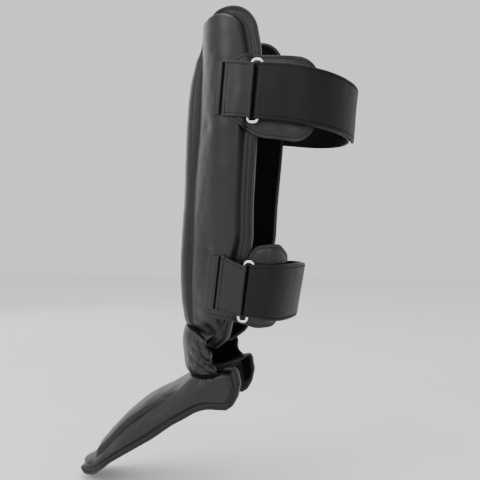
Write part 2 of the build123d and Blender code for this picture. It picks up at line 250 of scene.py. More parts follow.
def surface(name, color, rough, grain, depth, spread=0.25, rough_spread=0.1, sheen=0.0, weave=False,
            metal=0.0, specular=0.5, crease=0.0, crease_scale=34.0):
    """One finish: colour and roughness that vary over the piece, with a grain or a weave in relief."""
    mat = bpy.data.materials.new(name)
    mat.use_nodes = True
    tree = mat.node_tree
    shader = tree.nodes["Principled BSDF"]
    shader.inputs["Metallic"].default_value = metal
    shader.inputs["Specular IOR Level"].default_value = specular
    shader.inputs["Sheen Weight"].default_value = sheen
    shader.inputs["Sheen Roughness"].default_value = 0.4
    place = node(tree, "ShaderNodeTexCoord")
    link = tree.links.new

    blotch = node(tree, "ShaderNodeTexNoise", Scale=16.0, Detail=4.0)
    link(place.outputs["Object"], blotch.inputs["Vector"])
    tint = node(tree, "ShaderNodeValToRGB")
    tint.color_ramp.elements[0].color = (*[c * (1 - spread) for c in color], 1)
    tint.color_ramp.elements[1].color = (*[c * (1 + spread) for c in color], 1)
    tint.color_ramp.elements[0].position, tint.color_ramp.elements[1].position = 0.32, 0.68
    link(blotch.outputs["Fac"], tint.inputs["Fac"])

    fine = node(tree, "ShaderNodeTexNoise", Scale=grain * 0.6, Detail=5.0)
    link(place.outputs["Object"], fine.inputs["Vector"])
    gloss = node(tree, "ShaderNodeMapRange")
    gloss.inputs["To Min"].default_value = rough - rough_spread
    gloss.inputs["To Max"].default_value = rough + rough_spread
    link(fine.outputs["Fac"], gloss.inputs["Value"])
    link(gloss.outputs["Result"], shader.inputs["Roughness"])

    if weave:
        waves = []
        for way in ("X", "Y", "Z"):
            wave = node(tree, "ShaderNodeTexWave", Scale=grain, Distortion=0.6, bands_direction=way)
            link(place.outputs["Object"], wave.inputs["Vector"])
            waves.append(wave.outputs["Fac"])
        mix = node(tree, "ShaderNodeMath", operation="ADD")
        link(waves[0], mix.inputs[0])
        link(waves[1], mix.inputs[1])
        relief = node(tree, "ShaderNodeMath", operation="ADD")
        link(mix.outputs[0], relief.inputs[0])
        link(waves[2], relief.inputs[1])
        height = relief.outputs[0]
    else:
        cells = node(tree, "ShaderNodeTexVoronoi", Scale=grain, feature="SMOOTH_F1", Smoothness=0.6)
        wobble = node(tree, "ShaderNodeTexNoise", Scale=grain * 0.35, Detail=2.0)
        link(place.outputs["Object"], wobble.inputs["Vector"])
        shift = node(tree, "ShaderNodeVectorMath", operation="MULTIPLY_ADD")
        shift.inputs[1].default_value = (0.0012, 0.0012, 0.0012)
        link(wobble.outputs["Color"], shift.inputs[0])
        link(place.outputs["Object"], shift.inputs[2])
        link(shift.outputs["Vector"], cells.inputs["Vector"])
        relief = node(tree, "ShaderNodeMath", operation="MULTIPLY_ADD")
        relief.inputs[1].default_value = 0.5
        link(fine.outputs["Fac"], relief.inputs[0])
        link(cells.outputs["Distance"], relief.inputs[2])
        height = relief.outputs[0]
    bump = node(tree, "ShaderNodeBump", Strength=1.0, Distance=depth)
    link(height, bump.inputs["Height"])
    last = bump
    if crease:
        fold = node(tree, "ShaderNodeTexNoise", Scale=crease_scale, Detail=6.0, Roughness=0.62,
                    Distortion=1.2)
        link(place.outputs["Object"], fold.inputs["Vector"])
        ridge = node(tree, "ShaderNodeMath", operation="PINGPONG")
        ridge.inputs[1].default_value = 0.5
        link(fold.outputs["Fac"], ridge.inputs[0])
        last = node(tree, "ShaderNodeBump", Strength=1.0, Distance=crease)
        link(ridge.outputs[0], last.inputs["Height"])
        link(bump.outputs["Normal"], last.inputs["Normal"])
    link(last.outputs["Normal"], shader.inputs["Normal"])

    wear = node(tree, "ShaderNodeMix", data_type="RGBA")
    wear.inputs["B"].default_value = (*[min(c * 1.5, 1) for c in color], 1)
    amount = node(tree, "ShaderNodeMapRange")
    amount.inputs["From Min"].default_value, amount.inputs["From Max"].default_value = 0.55, 0.8
    amount.inputs["To Max"].default_value = 0.6
    link(fine.outputs["Fac"], amount.inputs["Value"])
    link(amount.outputs["Result"], wear.inputs["Factor"])
    link(tint.outputs["Color"], wear.inputs["A"])
    link(wear.outputs["Result"], shader.inputs["Base Color"])
    return mat


LEATHER = surface("leather", (0.0078, 0.0076, 0.0073), 0.4, 900, 0.00005, crease=0.00014, specular=0.38)
SOFT_LEATHER = surface("soft_leather", (0.007, 0.0069, 0.0066), 0.42, 800, 0.00006, crease=0.0003,
                       crease_scale=50, specular=0.42)
BINDING = surface("binding_leather", (0.007, 0.0069, 0.0068), 0.44, 1000, 0.00005, specular=0.36)
STRAP = surface("strap_leather", (0.0042, 0.0041, 0.0041), 0.5, 1100, 0.00004, crease=0.0001, specular=0.2)
# Dark lining fabric. The same finish also makes the dark sheet in the gap beside each strap's tab, which is
# painted shade.
LINING_AND_GAP_SHADE = surface("lining_fabric_and_gap_shade", (0.002, 0.002, 0.0024), 0.85, 900, 0.00012, weave=True, specular=0.12)
LOOP = surface("hook_and_loop", (0.004, 0.004, 0.004), 0.95, 700, 0.0005, specular=0.15, sheen=0.1)
ELASTIC = surface("elastic_web", (0.006, 0.006, 0.006), 0.8, 450, 0.00025, weave=True, specular=0.25)
THREAD = surface("thread", (0.0025, 0.0025, 0.0025), 0.8, 2500, 0.00006, specular=0.12)
PALE_THREAD = surface("pale_thread", (0.05, 0.05, 0.052), 0.5, 2500, 0.00006)
METAL = surface("plated_wire", (0.82, 0.82, 0.83), 0.16, 300, 0.00001, spread=0.03, rough_spread=0.05,
                metal=1.0)
STRIP = surface("edge_strip", (0.0016, 0.0016, 0.0017), 0.7, 500, 0.0002, weave=True, specular=0.1)
GREY_LINING = surface("smooth_lining", (0.0075, 0.0073, 0.0073), 0.5, 1000, 0.00006, specular=0.3)

# ----------------------------------------------------------------- shin shell

SHIN_TOP = 249.5
SHIN_BOTTOM = -110
# The lining's inner face, a half ellipse with straight legs to the rear: (height, half width, front depth)
SHIN = [
    (-126, 34, 49), (-88, 43, 50), (-50, 47.5, 48.5), (-10, 51.5, 46),
    (60, 57.5, 42), (120, 61, 37), (190, 61, 35), (250, 61, 35),
]
# Arc lengths round the shell are measured this far out from the lining.
MEASURED_AT = 8
# The side seams' arc length from the front, and their grooves as (height, distance out from the lining)
SEAM = 29
GROOVE = [(-110, 19), (-50, 20), (0, 19.7), (60, 18.8), (147, 17), (200, 15.5), (228, 15)]
# The shell's edge from the side: (distance behind the leg's axis, height), and the radius of each corner
SHIN_EDGE = [
    (-80, SHIN_TOP), (21, SHIN_TOP), (30, 200), (25, 110), (19.5, 40), (18, -3), (-7, -87), (-15, -110),
    (-38, -125), (-52, -110), (-80, SHIN_BOTTOM),
]
SHIN_CORNERS = [30, 60, 300, 300, 80, 60, 22, 6, 14]
# The front ridge's crest: (height, distance in front of the leg's axis)
CREST = [
    (-110, 68), (-99, 75), (-81, 79.5), (-60, 82), (-12, 82), (53, 77.5), (110, 75.5), (150, 73.5), (185, 69),
    (212, 61.5), (230, 56.5), (247, 55),
]
# Distances out from the lining
LINING_OUT = 1.6
PAD_BACK = 1.7
UNDER_BINDING = 5.6
FLANGE_OUT = 6.3
BINDING_OUT = 6.9
PAD_OUT = 16.0
# Distances in from the shell's edge, of the flat flange and of the end of the bevel up to the pad
FLANGE = 11.5
BEVEL_END = 18.2
# The binding's section: (distance in from the shell's edge, distance out from the lining)
SHIN_BINDING = (
    (4.1, 5.9), (3.9, 6.75), (2.6, 6.95), (1.0, 6.9), (0.2, 6.2), (-0.05, 4.5), (-0.05, 1.6), (0.3, 0.0),
    (1.2, -0.55), (3.2, -0.6), (4.0, -0.3), (4.1, 0.6),
)


CORNER_STEPS = 12


def fillet(points, radii, step=0.9):
    """A dense line through the points with its corners rounded."""
    points = [np.array(p, float) for p in points]
    line = [points[0]]
    for before, corner, after, radius in zip(points, points[1:], points[2:], radii):
        a, b = unit(before - corner), unit(after - corner)
        half = np.arccos(np.clip(a @ b, -1, 1)) / 2
        room = 0.49 * min(np.linalg.norm(before - corner), np.linalg.norm(after - corner))
        back = min(radius / np.tan(half), room)
        radius = back * np.tan(half)
        middle = corner + unit(a + b) * radius / sin(half)
        first, last = corner + a * back - middle, corner + b * back - middle
        turn = np.arctan2(first[0] * last[1] - first[1] * last[0], first @ last)
        start = np.arctan2(first[1], first[0])
        for k in range(CORNER_STEPS + 1):
            a = start + turn * k / CORNER_STEPS
            line.append(middle + radius * np.array([cos(a), sin(a)]))
    line.append(points[-1])
    line = np.array(line)
    return resample(line, int(length_of(line) / step))


def section(z):
    z = np.asarray(z, float)
    heights, wide, deep = (np.array(c) for c in zip(*SHIN))
    return curve(z, list(zip(heights, wide))), curve(z, list(zip(heights, deep)))


TURNS = np.linspace(0, pi / 2, 97)


def turn_lengths(wide, deep):
    """Arc lengths from the front along quarter ellipses, one row for each."""
    fine = (TURNS[1:] + TURNS[:-1]) / 2
    speed = np.hypot(wide[:, None] * np.cos(fine), deep[:, None] * np.sin(fine)) * (TURNS[1] - TURNS[0])
    return np.concatenate([np.zeros((len(wide), 1)), np.cumsum(speed, 1)], 1)


def turn_at(a, wide, deep):
    """The turns at arc lengths from the front round quarter ellipses, and how far each runs past the end."""
    table = turn_lengths(wide, deep)
    i = np.clip((table < a[:, None]).sum(1), 1, len(TURNS) - 1)
    row = np.arange(len(a))
    low, high = table[row, i - 1], table[row, i]
    turn = TURNS[i - 1] + (TURNS[i] - TURNS[i - 1]) * np.clip((a - low) / (high - low), 0, 1)
    return turn, np.maximum(a - table[:, -1], 0)


def length_at(turn, wide, deep):
    """The arc lengths from the front to turns round quarter ellipses."""
    return np.array([np.interp(t, TURNS, row) for t, row in zip(turn, turn_lengths(wide, deep))])


def wrap(s, z, d):
    """The point at arc length s round from the front, height z, and distance d out from the lining."""
    s, z, d = np.broadcast_arrays(np.asarray(s, float), np.asarray(z, float), np.asarray(d, float))
    shape = s.shape
    s, z, d = s.ravel(), z.ravel(), d.ravel()
    wide, deep = section(z)
    turn, past = turn_at(np.abs(s), wide + MEASURED_AT, deep + MEASURED_AT)
    x = (wide + d) * np.sin(turn) * np.sign(s)
    y = -(deep + d) * np.cos(turn) + past
    return np.stack([x, y, z], 1).reshape(*shape, 3)


def around(y, z):
    """The arc length round from the front to a place (y, z) on the shell's side."""
    y, z = np.atleast_1d(np.asarray(y, float)), np.atleast_1d(np.asarray(z, float))
    wide, deep = section(z)
    turn = np.arccos(np.clip(-y / (deep + MEASURED_AT), 0, 1))
    return length_at(turn, wide + MEASURED_AT, deep + MEASURED_AT) + np.maximum(y, 0)


def shell_rim():
    """Half of the shell's edge as (arc length, height), from the front's top by the rear to its bottom."""
    y, z = fillet(SHIN_EDGE, SHIN_CORNERS).T
    rim = np.concatenate([[[0, SHIN_TOP]], np.stack([around(y, z), z], 1), [[0, SHIN_BOTTOM]]])
    rim = rim[apart(rim, 1e-6)]
    return resample(rim, int(length_of(rim)))


HALF_RIM = shell_rim()


def rim_distance(s, z):
    """Distance in from the shell's edge."""
    return polyline_distance(np.abs(s), z, HALF_RIM[::2])


def patch(left, right, bottom, top, rows, cols, u=None, v=None):
    """A grid of plane points between four edges that meet at their ends."""
    u = np.linspace(0, 1, cols) if u is None else u
    v = np.linspace(0, 1, rows) if v is None else v

    def at(line, t):
        line = np.asarray(line, float)
        along = distance_along(line)
        return on_line(line, along, t * along[-1])

    lo, hi, le, ri = at(bottom, u)[None], at(top, u)[None], at(left, v)[:, None], at(right, v)[:, None]
    uu, vv = u[None, :, None], v[:, None, None]
    corners = (
        (1 - uu) * (1 - vv) * lo[:, :1] + uu * (1 - vv) * lo[:, -1:]
        + (1 - uu) * vv * hi[:, :1] + uu * vv * hi[:, -1:]
    )
    return (1 - vv) * lo + vv * hi + (1 - uu) * le + uu * ri - corners


def graded(count, near=0.35):
    """Steps from 0 to 1 that are finer at both ends."""
    t = np.linspace(0, 1, count)
    return t - near * np.sin(2 * pi * t) / (2 * pi)


def split_rim():
    """The half rim, from the bottom seam round the rear to the top seam, in three runs."""
    line = HALF_RIM[::-1]
    low = int(np.argmin(np.linalg.norm(line - line[np.argmin(line[:, 1])], axis=1)))
    tops = np.abs(line[:, 1] - 238) + 1000 * (line[:, 1] < 200)
    high = int(np.argmin(tops))
    first = next(i for i, p in enumerate(line) if p[0] > SEAM)
    last = len(line) - next(i for i, p in enumerate(line[::-1]) if p[0] > SEAM)
    bottom = np.concatenate([[[SEAM, SHIN_BOTTOM]], line[first:low + 1]])
    rear = line[low:high + 1]
    top = np.concatenate([line[high:last], [[SEAM, SHIN_TOP]]])[::-1]
    return bottom, rear, top


RIM_LOW, RIM_REAR, RIM_HIGH = split_rim()
# Dents in the near side: (distance behind the leg's axis, height, reach, depth)
DENTS = [
    (-27, 122, 9, 1.1), (-27, -11, 6, 1.7), (-42, -66, 9, 1.4), (-33, -97, 7, 3.0),
    (-41, -86, 9, 2.0), (-22, -88, 6, 2.4), (-14, -77, 5, 1.6),
]


def crest_out(z):
    """How far the centre ridge stands out from the lining at the front."""
    return curve(z, CREST) - section(z)[1]


def pad_out(s, z, side):
    """How far the shell's outer face stands out from the lining."""
    a = np.abs(s)
    d = rim_distance(s, z)
    bottom = (1 - smooth(z, -98, -84)) * (1 - smooth(a, 56, 72))
    top = smooth(z, 226, 240) * (1 - smooth(a, 70, 105))
    bevel = smooth(d, FLANGE - 10.5 * bottom - 7.5 * top, BEVEL_END - 11.5 * bottom - 7.2 * top)
    full = PAD_OUT + 1.2 * bell(d, 34, 18)
    seam_on = 1 - smooth(z, 212, 228)
    groove = curve(z, GROOVE)
    shoulder = full + (groove + 1.3 - full) * (1 - smooth(a, SEAM, SEAM + 36)) * seam_on
    shoulder = shoulder - 2.5 * smooth(-z, 90, 106)
    groove = groove - 2.5 * smooth(-z, 90, 106)
    roll = shoulder - (shoulder - groove) * np.exp(-((a - SEAM) / 1.4) ** 2) * seam_on
    crease = 0.9 * bell(a, SEAM + 8.5, 2.2) * smooth(z, -50, 0) * (1 - smooth(z, 140, 175))
    relief = 0.2 * ripple(s, z, 11, low=0.006, high=0.03) + 0.12 * ripple(s, z, 12, low=0.03, high=0.08)
    pad = roll - crease + relief * smooth(a, SEAM, SEAM + 8)
    bar = np.clip(1 - (a / SEAM) ** 2.35, 0, 1) ** 0.5
    crest = crest_out(z)
    ends = 1 - smooth(z, 204, 236)
    ridge = groove + (crest - groove) * bar * ends + (full - groove) * (1 - ends)
    ridge = ridge + 0.2 * ripple(s, z, 21, low=0.008, high=0.03) + 0.1 * ripple(s, z, 22, low=0.03, high=0.07)
    body = np.where(a < SEAM - 1e-6, ridge, pad)
    body = np.where(np.abs(a - SEAM) < 1e-3, groove * seam_on + full * (1 - seam_on), body)
    flat = FLANGE_OUT - 0.7 * bell(d, 5.6, 0.9) - 0.55 * bell(d, 9.2, 0.8)
    out = flat * (1 - bevel) + body * bevel
    if side > 0:
        for y, height, reach, depth in DENTS:
            away = (s - around(y, height)[0]) ** 2 + (z - height) ** 2
            out = out - depth * np.exp(-away / reach**2) * bevel
        low = smooth(-z, 72, 92) * smooth(a, 60, 80) * bevel
        out = out - 1.1 * low * np.abs(np.sin((s * 0.35 + z * 0.22) * 0.55))
    return out


def sewn_line(level, out, side):
    """A line on the shell's face at a distance in from its edge, with its outward directions."""
    line = HALF_RIM + turned_right(unit(np.gradient(HALF_RIM, axis=0))) * level
    keep = rim_distance(line[:, 0], line[:, 1]) > level - 0.3
    line = line[keep & (line[:, 0] > -1)]
    s = side * line[:, 0]
    height = out(s, line[:, 1]) if callable(out) else out
    here, beyond = wrap(s, line[:, 1], height), wrap(s, line[:, 1], height + 1)
    return here, unit(beyond - here)


def shell_slab(piece, s, z, side):
    """A pad from the lining to the shell's outer face, tucked under the binding at the shell's edge."""
    tucked = rim_distance(s, z) < 0.8
    outer = wrap(s, z, np.where(tucked, UNDER_BINDING, pad_out(s, z, side)))
    piece.slab(outer, wrap(s, z, np.full_like(s, PAD_BACK)), LEATHER)


def shin_pads():
    """The two side pads and the ridge between them."""
    made = []
    rows = 250
    for side, name in ((1, "right"), (-1, "left")):
        cols = 74
        seam = np.array([(SEAM, z) for z in np.linspace(SHIN_BOTTOM, SHIN_TOP, 200)])
        flat = patch(seam, RIM_REAR, RIM_LOW, RIM_HIGH, rows, cols, u=graded(cols, 0.55), v=graded(rows, 0.3))
        piece = Piece(f"shin_pad_{name}")
        shell_slab(piece, side * flat[..., 0], flat[..., 1], side)
        line, out = sewn_line(9.2, lambda s, z: pad_out(s, z, side) + 0.05, side)
        piece.stitches(line, out, THREAD)
        made.append(piece.make(sharp=55))
    cols = 56
    u, v = graded(cols, 0.6), graded(rows, 0.3)
    s = (2 * u - 1)[None, :] * SEAM * np.ones((rows, 1))
    z = SHIN_BOTTOM + ((SHIN_TOP - SHIN_BOTTOM) * v)[:, None] * np.ones((1, cols))
    piece = Piece("shin_ridge")
    shell_slab(piece, s, z, 0)
    for side in (1, -1):
        heights = np.linspace(-95, 222, 300)
        at = np.full_like(heights, side * (SEAM - 1.3))
        out_here = pad_out(at, heights, 0) + 0.05
        here, beyond = wrap(at, heights, out_here), wrap(at + side * 0.6, heights, out_here + 1)
        piece.stitches(here, beyond - here, THREAD, pitch=3.3, length=2.3)
    made.append(piece.make(sharp=55))
    return made


def shin_liner():
    """The lining inside the shell and the binding round its edge."""
    rows, cols = 200, 120
    bottom = np.concatenate([RIM_LOW[::-1] * [-1, 1], [[0, SHIN_BOTTOM]], RIM_LOW])
    top = np.concatenate([RIM_HIGH[::-1] * [-1, 1], [[0, SHIN_TOP]], RIM_HIGH])
    flat = patch(RIM_REAR * [-1, 1], RIM_REAR, bottom, top, rows, cols)
    s, z = flat[..., 0], flat[..., 1]
    wave = 0.35 * ripple(s, z, 31, low=0.01, high=0.05) * smooth(rim_distance(s, z), 2, 14)
    piece = Piece("shin_lining")
    piece.slab(wrap(s, z, np.full_like(s, LINING_OUT)), wrap(s, z, 0.1 - np.abs(wave)), LINING_AND_GAP_SHADE)
    lining = piece.make()

    rim = np.concatenate([HALF_RIM, HALF_RIM[::-1][1:-1] * [-1, 1]])
    ahead = unit(np.roll(rim, -1, 0) - np.roll(rim, 1, 0))
    for _ in range(2):
        ahead = unit(np.roll(ahead, 1, 0) + ahead + np.roll(ahead, -1, 0))
    rings = []
    for reach, out in SHIN_BINDING:
        at = rim + turned_right(ahead) * reach
        rings.append(wrap(at[:, 0], at[:, 1], out))
    piece = Piece("shin_edge_binding")
    piece.sweep(np.stack(rings, 1), BINDING, closed=True)
    for side in (1, -1):
        line, out = sewn_line(2.7, BINDING_OUT, side)
        piece.stitches(line, out, THREAD)
        line, out = sewn_line(2.7, -0.62, side)
        piece.stitches(line, -out, THREAD)
    return lining, piece.make()


for pad in shin_pads():
    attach(pad, "shin")
    if pad.name == "shin_ridge":
        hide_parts("shin_ridge_cover", "shin_ridge_foam")
    elif pad.name == "shin_pad_right":
        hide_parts("shin_cover_right", "shin_pad_foam")
    else:
        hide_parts("shin_cover_left", "shin_backing_foam")
lining, binding = shin_liner()
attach(lining, "shin")
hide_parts("shin_lining")
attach(binding, "shin")
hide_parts("shin_edge_binding")

# --------------------------------------------------------------------- straps

# Plan sizes at each strap's middle height. "lean" is how far its upper edge is behind its lower one, and
# "spread" how much wider the leg is there. "rise" lifts the tab's front end, and "dip" lowers the strap's
# lower edge at the ring and at the rear. The tongue is an outline of (distance round from its sewn end,
# distance up from the strap's middle).
UPPER = dict(
    name="upper", height=155.4, slope=(-0.03, 0.13, 1), lean=5.2, spread=1.0,
    ring=76.8, front=20.6, rear=31.4,
    start=-19.6, tab=-7.3, strip=-18.8, rise=0.0, dip=(0, 0), pale_row=31.5, flap=30.5,
    far=-80.2, far_end=-12, back=50, deep=66.5,
    tongue=[(0, 0), (0, 28), (20, 30.5), (31, 38), (116, 41), (116, -47), (56, -47), (22, -31), (0, -28),
            (0, 0)],
    rounding=[2, 10, 12, 24, 27, 40, 16, 2], corners=(116, 41, -47))
LOWER = dict(
    name="lower", height=-55, slope=(0, 0, 1), lean=9.4, spread=1.12,
    ring=62.4, front=7.2, rear=16.8,
    start=-31, tab=-19.5, strip=-36.0, rise=5.5, dip=(-2, 4), pale_row=31.5, flap=12,
    far=-65.3, far_end=-20, back=27, deep=25,
    tongue=[(0, 0), (0, 28), (20, 29.5), (41, 33), (50, 49), (76, 51), (95, 39), (95, -39), (60, -40),
            (26, -31), (0, -28), (0, 0)],
    rounding=[2, 10, 8, 9, 14, 10, 22, 30, 16, 2], corners=(95, 39, -39))
HALF = 29
WIRE = 1.6
PLAY = 0.3
STRAP_THICK = 2.4
TAIL_LIFT = 4.7
# The straps' two rows of stitches are this far from the middle.
SEWN_ROW = 25.8
# The pad's rear edge: (height, distance behind the leg's axis)
REAR_EDGE = [(-121, -30), (-87, -6), (-3, 18), (40, 19.5), (110, 25), (200, 30), (247, 22)]


def strap_axes(strap):
    up = unit(np.array(strap["slope"]))
    across = unit(np.array([up[2], 0, -up[0]]))
    return across, np.cross(up, across)


def strap_points(strap, x, y, t):
    """Points at plan places x, y, and t half widths of the strap up from its middle."""
    xd, yd = strap_axes(strap)
    origin = np.stack([0 * t, strap["lean"] * t / 2, strap["height"] + HALF * t], -1)
    return origin + (x * (1 + (strap["spread"] - 1) / 2 * t))[..., None] * xd + y[..., None] * yd


def strap_grid(strap, plan, across):
    """A band that follows a plan line, at distances across its width: rows along, columns across."""
    plan, across = np.asarray(plan, float), np.asarray(across, float)
    if across.ndim == 1:
        across = np.broadcast_to(across, (len(plan), len(across)))
    ring_dip, rear_dip = strap["dip"]
    dip = ring_dip + (rear_dip - ring_dip) * smooth(plan[:, 1], 22, 52)
    across = across - dip[:, None] * (0.5 - across / (2 * HALF))
    return strap_points(strap, plan[:, None, 0], plan[:, None, 1], across / HALF)


def onto_pad(points, clear):
    """The same points, laid on the pad's face where they are forward of its rear bevel."""
    points = points.copy()
    x, y, z = (points[..., k] for k in range(3))
    wide, deep = section(z)
    face = (wide + PAD_OUT + 0.6) * np.sqrt(1 - np.clip(-y / (deep + PAD_OUT + 0.6), 0, 0.99) ** 2)
    rim = curve(z, REAR_EDGE)
    on = 1 - smooth(y, rim - 19, rim - 8)
    points[..., 0] = np.sign(x) * (np.abs(x) * (1 - on) + (face + clear) * on)
    return points


def arc(centre, wide, deep, start, end, count):
    turn = np.radians(np.linspace(start, end, count))
    return np.stack([centre[0] + wide * np.cos(turn), centre[1] + deep * np.sin(turn)], 1)


def bend_size(strap):
    """Where the middle of the strap's bend round the calf is across the leg, and its half width."""
    near, far = strap["ring"] - WIRE - PLAY - STRAP_THICK / 2, strap["far"]
    return (near + far) / 2, (near - far) / 2


def normals(grid, outward):
    n = unit(np.cross(np.gradient(grid, axis=0), np.gradient(grid, axis=1)))
    r, c = grid.shape[0] // 2, grid.shape[1] // 2
    sign = np.sign((n[r, c] * outward).sum())
    return n * (sign or 1)


def edge_round(grid, thick):
    """How much of its half thickness a sheet keeps near its four edges."""
    reach = np.full(grid.shape[:2], 1e9)
    for axis in (0, 1):
        step = np.linalg.norm(np.diff(grid, axis=axis), axis=-1)
        pad = [(1, 0), (0, 0)] if axis == 0 else [(0, 0), (1, 0)]
        along = np.pad(np.cumsum(step, axis=axis), pad)
        total = along[-1:] if axis == 0 else along[:, -1:]
        reach = np.minimum(reach, np.minimum(along, total - along))
    k = np.clip(reach / (thick / 2), 0, 1)
    return np.maximum(np.sqrt(1 - (1 - k) ** 2), 0.2), reach


def sheet(piece, grid, thick, material, outward, relief=0.0, inner_material=None, pinch=0.0, pinch_at=3.2):
    """Adds a sheet with rounded edges, pinched where it is sewn, and gives its normals and half thickness."""
    n = normals(grid, np.asarray(outward, float))
    thick = np.broadcast_to(np.asarray(thick, float), grid.shape[:2])
    keep, reach = edge_round(grid, float(thick.min()))
    half = thick / 2 * keep
    dip = pinch * bell(reach, pinch_at, 0.8)
    outer, inner = grid + n * (half - dip + relief)[..., None], grid - n * (half - dip * 0.6)[..., None]
    piece.slab(outer, inner, material, inner_material)
    return n, half


def sew(piece, grid, n, half, here, sink=0.0, material=THREAD, **kind):
    """Stitches on a sheet's face, at the places in its grid that an index names."""
    piece.stitches(grid[here] + n[here] * (half[here] - sink)[:, None], n[here], material, **kind)


ACROSS = HALF * (2 * graded(40, 0.75) - 1)


def nearest(values, at):
    return int(np.argmin(np.abs(np.asarray(values) - at)))


def nearest_point(line, *place):
    return int(np.argmin(np.linalg.norm(line - place, axis=1)))


def tongue_plan(strap):
    """How far out the tongue is behind the ring, and its line in plan from under the tab round the calf."""
    middle, wide = bend_size(strap)
    inside = (STRAP_THICK + 3.4) / 2 + 0.4
    x = middle + wide - inside
    front = [(x + 8, y) for y in np.linspace(strap["start"], strap["front"] - 9, 24)]
    down = [(x + 8 - 8 * float(smooth(y, strap["front"] - 9, strap["front"] - 1)), y)
            for y in np.linspace(strap["front"] - 8.5, strap["back"], 20)]
    round_calf = arc((middle, strap["back"]), wide - inside, strap["deep"] - inside, 2, 75, 60)
    return x, np.concatenate([front, down, round_calf])


def tongue_flat(strap):
    """The tongue's outline, laid flat, from its upper front corner round, and a grid of places inside it."""
    shape = fillet(strap["tongue"], strap["rounding"], step=0.7)
    end, top, low = strap["corners"]
    a, b = nearest_point(shape, 0, 28), nearest_point(shape, end - 5, top - 5)
    c, d = nearest_point(shape, end - 6, low + 6), nearest_point(shape, 0, -28)
    left = np.concatenate([shape[d:], shape[:a + 1]])
    flat = patch(left, shape[b:c + 1][::-1], shape[c:d + 1][::-1], shape[a:b + 1], 70, 110,
                 u=graded(110, 0.4), v=graded(70, 0.6)).transpose(1, 0, 2)
    return shape, np.concatenate([shape[a:], shape[:a]]), flat


def tongue(strap):
    """The padded tongue under the ring, on its sewn base."""
    x, line = tongue_plan(strap)
    shape, outline, flat = tongue_flat(strap)
    reach_round, up = flat[..., 0], flat[..., 1]
    plan = on_line(line, distance_along(line), reach_round)
    grid = onto_pad(strap_points(strap, plan[..., 0], plan[..., 1], up / HALF), 0.75)
    reach = polyline_distance(reach_round, up, shape[::2])
    full = smooth(reach_round, 34, 52)
    thick = 1.2 + full * (2.3 * smooth(reach, 3.5, 9) + 0.5)
    piece = Piece(f"{strap['name']}_tongue")
    seed = 41 + len(strap["tongue"])
    wave = 0.35 * ripple(reach_round, up, seed, low=0.01, high=0.05) * smooth(reach, 4, 12)
    n, half = sheet(piece, grid, thick, LEATHER, (1, 0, 0), relief=wave * full, pinch=0.25, pinch_at=3.4)
    inset = 3.4
    at = outline + turned_right(unit(np.gradient(outline, axis=0))) * inset
    at = at[polyline_distance(at[:, 0], at[:, 1], shape[::2]) > inset - 0.4]
    at = resample(at, len(at))
    near_i = [int(np.argmin((reach_round - p[0]) ** 2 + (up - p[1]) ** 2)) for p in at[::3]]
    r, q = np.unravel_index(near_i, flat.shape[:2])
    run = grid[r, q] + n[r, q] * (half[r, q] - 0.15)[:, None]
    keep = apart(run, 0.8)
    run, ways = run[keep], n[r, q][keep]
    smoothed = run.copy()
    smoothed[1:-1] = (run[:-2] + run[1:-1] * 2 + run[2:]) / 4
    piece.stitches(smoothed[:-8], ways[:-8], THREAD)
    r = np.arange(int(0.45 * grid.shape[0]), int(0.86 * grid.shape[0]))
    c = [nearest(up[i], strap["pale_row"]) for i in r]
    sew(piece, grid, n, half, (r, c), material=PALE_THREAD, wide=0.55, high=0.45)
    obj = piece.make()
    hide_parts(f"{strap['name']}_tongue_base", f"{strap['name']}_tongue")
    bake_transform(obj)


def tab(strap):
    """The anchor tab: sewn on the pad, forward of the ring, and turned round the ring's front bar."""
    x, bar, thick = strap["ring"], strap["front"], 2.0
    off = WIRE + PLAY + thick / 2
    forward = np.linspace(strap["tab"], bar, 46)
    line = np.concatenate([
        [(x + off, y) for y in forward[:-1]],
        arc((x, bar), off, off, 0, 180, 22),
        [(x - off, y) for y in np.linspace(bar, bar - 9, 8)[1:]],
    ])
    share = np.clip((strap["front"] - 3 - line[:, 1]) / (strap["front"] - 3 - strap["tab"]), 0, 1)[:, None]
    grid = strap_grid(strap, line, ACROSS * 0.985 + share * strap["rise"] * (1.5 + ACROSS / (2 * HALF)))
    laid = onto_pad(grid, 2.9)
    outside = (np.arange(len(line)) < len(forward))[:, None, None]
    grid = np.where(outside, laid, grid)
    piece = Piece(f"{strap['name']}_tab")
    lift = 0.12 * ripple(np.arange(len(line))[:, None] * 0.9, ACROSS[None], 51, low=0.02, high=0.07)
    n, half = sheet(piece, grid, thick, LEATHER, (1, 0, 0), relief=lift, pinch=0.3, pinch_at=2.6)
    r = nearest(line[:len(forward), 1], strap["tab"] + 4)
    sew(piece, grid, n, half, (r, slice(2, -2)), sink=0.02, pitch=3.2, length=2.3, wide=0.5, high=0.45)
    for side in (-1, 1):
        sew(piece, grid, n, half, (slice(3, len(forward) - 1), nearest(ACROSS, side * 26)), sink=0.2)
    obj = piece.make()
    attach(obj, "shin")
    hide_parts(f"{strap['name']}_tab")


